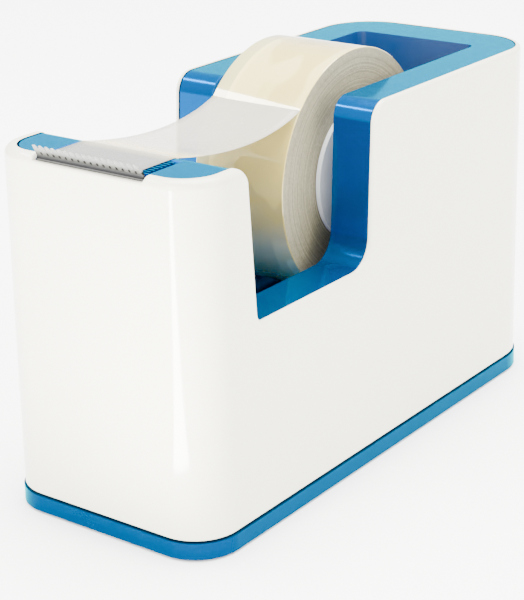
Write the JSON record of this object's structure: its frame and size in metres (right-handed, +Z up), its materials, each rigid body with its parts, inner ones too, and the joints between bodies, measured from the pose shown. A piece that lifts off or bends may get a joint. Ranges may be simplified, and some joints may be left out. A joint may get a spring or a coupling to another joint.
{
  "type": "tape dispenser",
  "caption": "Weighted desk tape dispenser: two-colour rounded housing with an open finger notch, saw-tooth cutter on a front tower and a lift-out tape roll spinning on an axle.",
  "frame": {"origin": "centre of the footprint, on the plane the feet stand on", "axes": "+Z up, the cutter end faces -Y, the roll end faces +Y, the roll axle runs along X"},
  "size_m": [0.051, 0.126, 0.0823],
  "materials": {
    "shell": "high gloss, warm white",
    "insert": "high gloss, metallic blue",
    "landing": "gloss, deep blue, ribbed",
    "base": "high gloss, metallic blue",
    "blade": "punched stainless strip",
    "screw": "zinc plated",
    "ballast": "plain mill finish",
    "foam": "thin closed-cell foam",
    "feet": "matt grey rubber",
    "axle": "bright drawn rod",
    "hub": "satin off-white",
    "core": "satin pale grey",
    "tape": "wound clear film, amber in depth",
    "film": "clear film, slightly milky"
  },
  "bodies": {
    "housing": {"outer_shell": "shell", "inner_insert": "insert", "tape_landing": "landing", "cutter_blade": "blade", "blade_screws": "screw", "base_tray": "base", "base_screws": "screw", "insert_screws": "screw", "ballast_block": "ballast", "ballast_pad": "foam", "foot_pads": "feet"},
    "axle": {"axle_rod": "axle", "axle_rings": "screw", "tape_strip": "film"},
    "roll": {"hub_drum": "hub", "hub_cap": "hub", "tape_core": "core", "tape_roll": "tape"}
  },
  "joints": [
    {"name": "roll_lift", "type": "slide", "parent": "housing", "child": "axle", "axis": [0, 0, 1], "range_m": [0, 0.06]},
    {"name": "roll_spin", "type": "hinge", "parent": "axle", "child": "roll", "pos_m": [0, 0.0095, 0.0563], "axis": [1, 0, 0], "continuous": true}
  ]
}
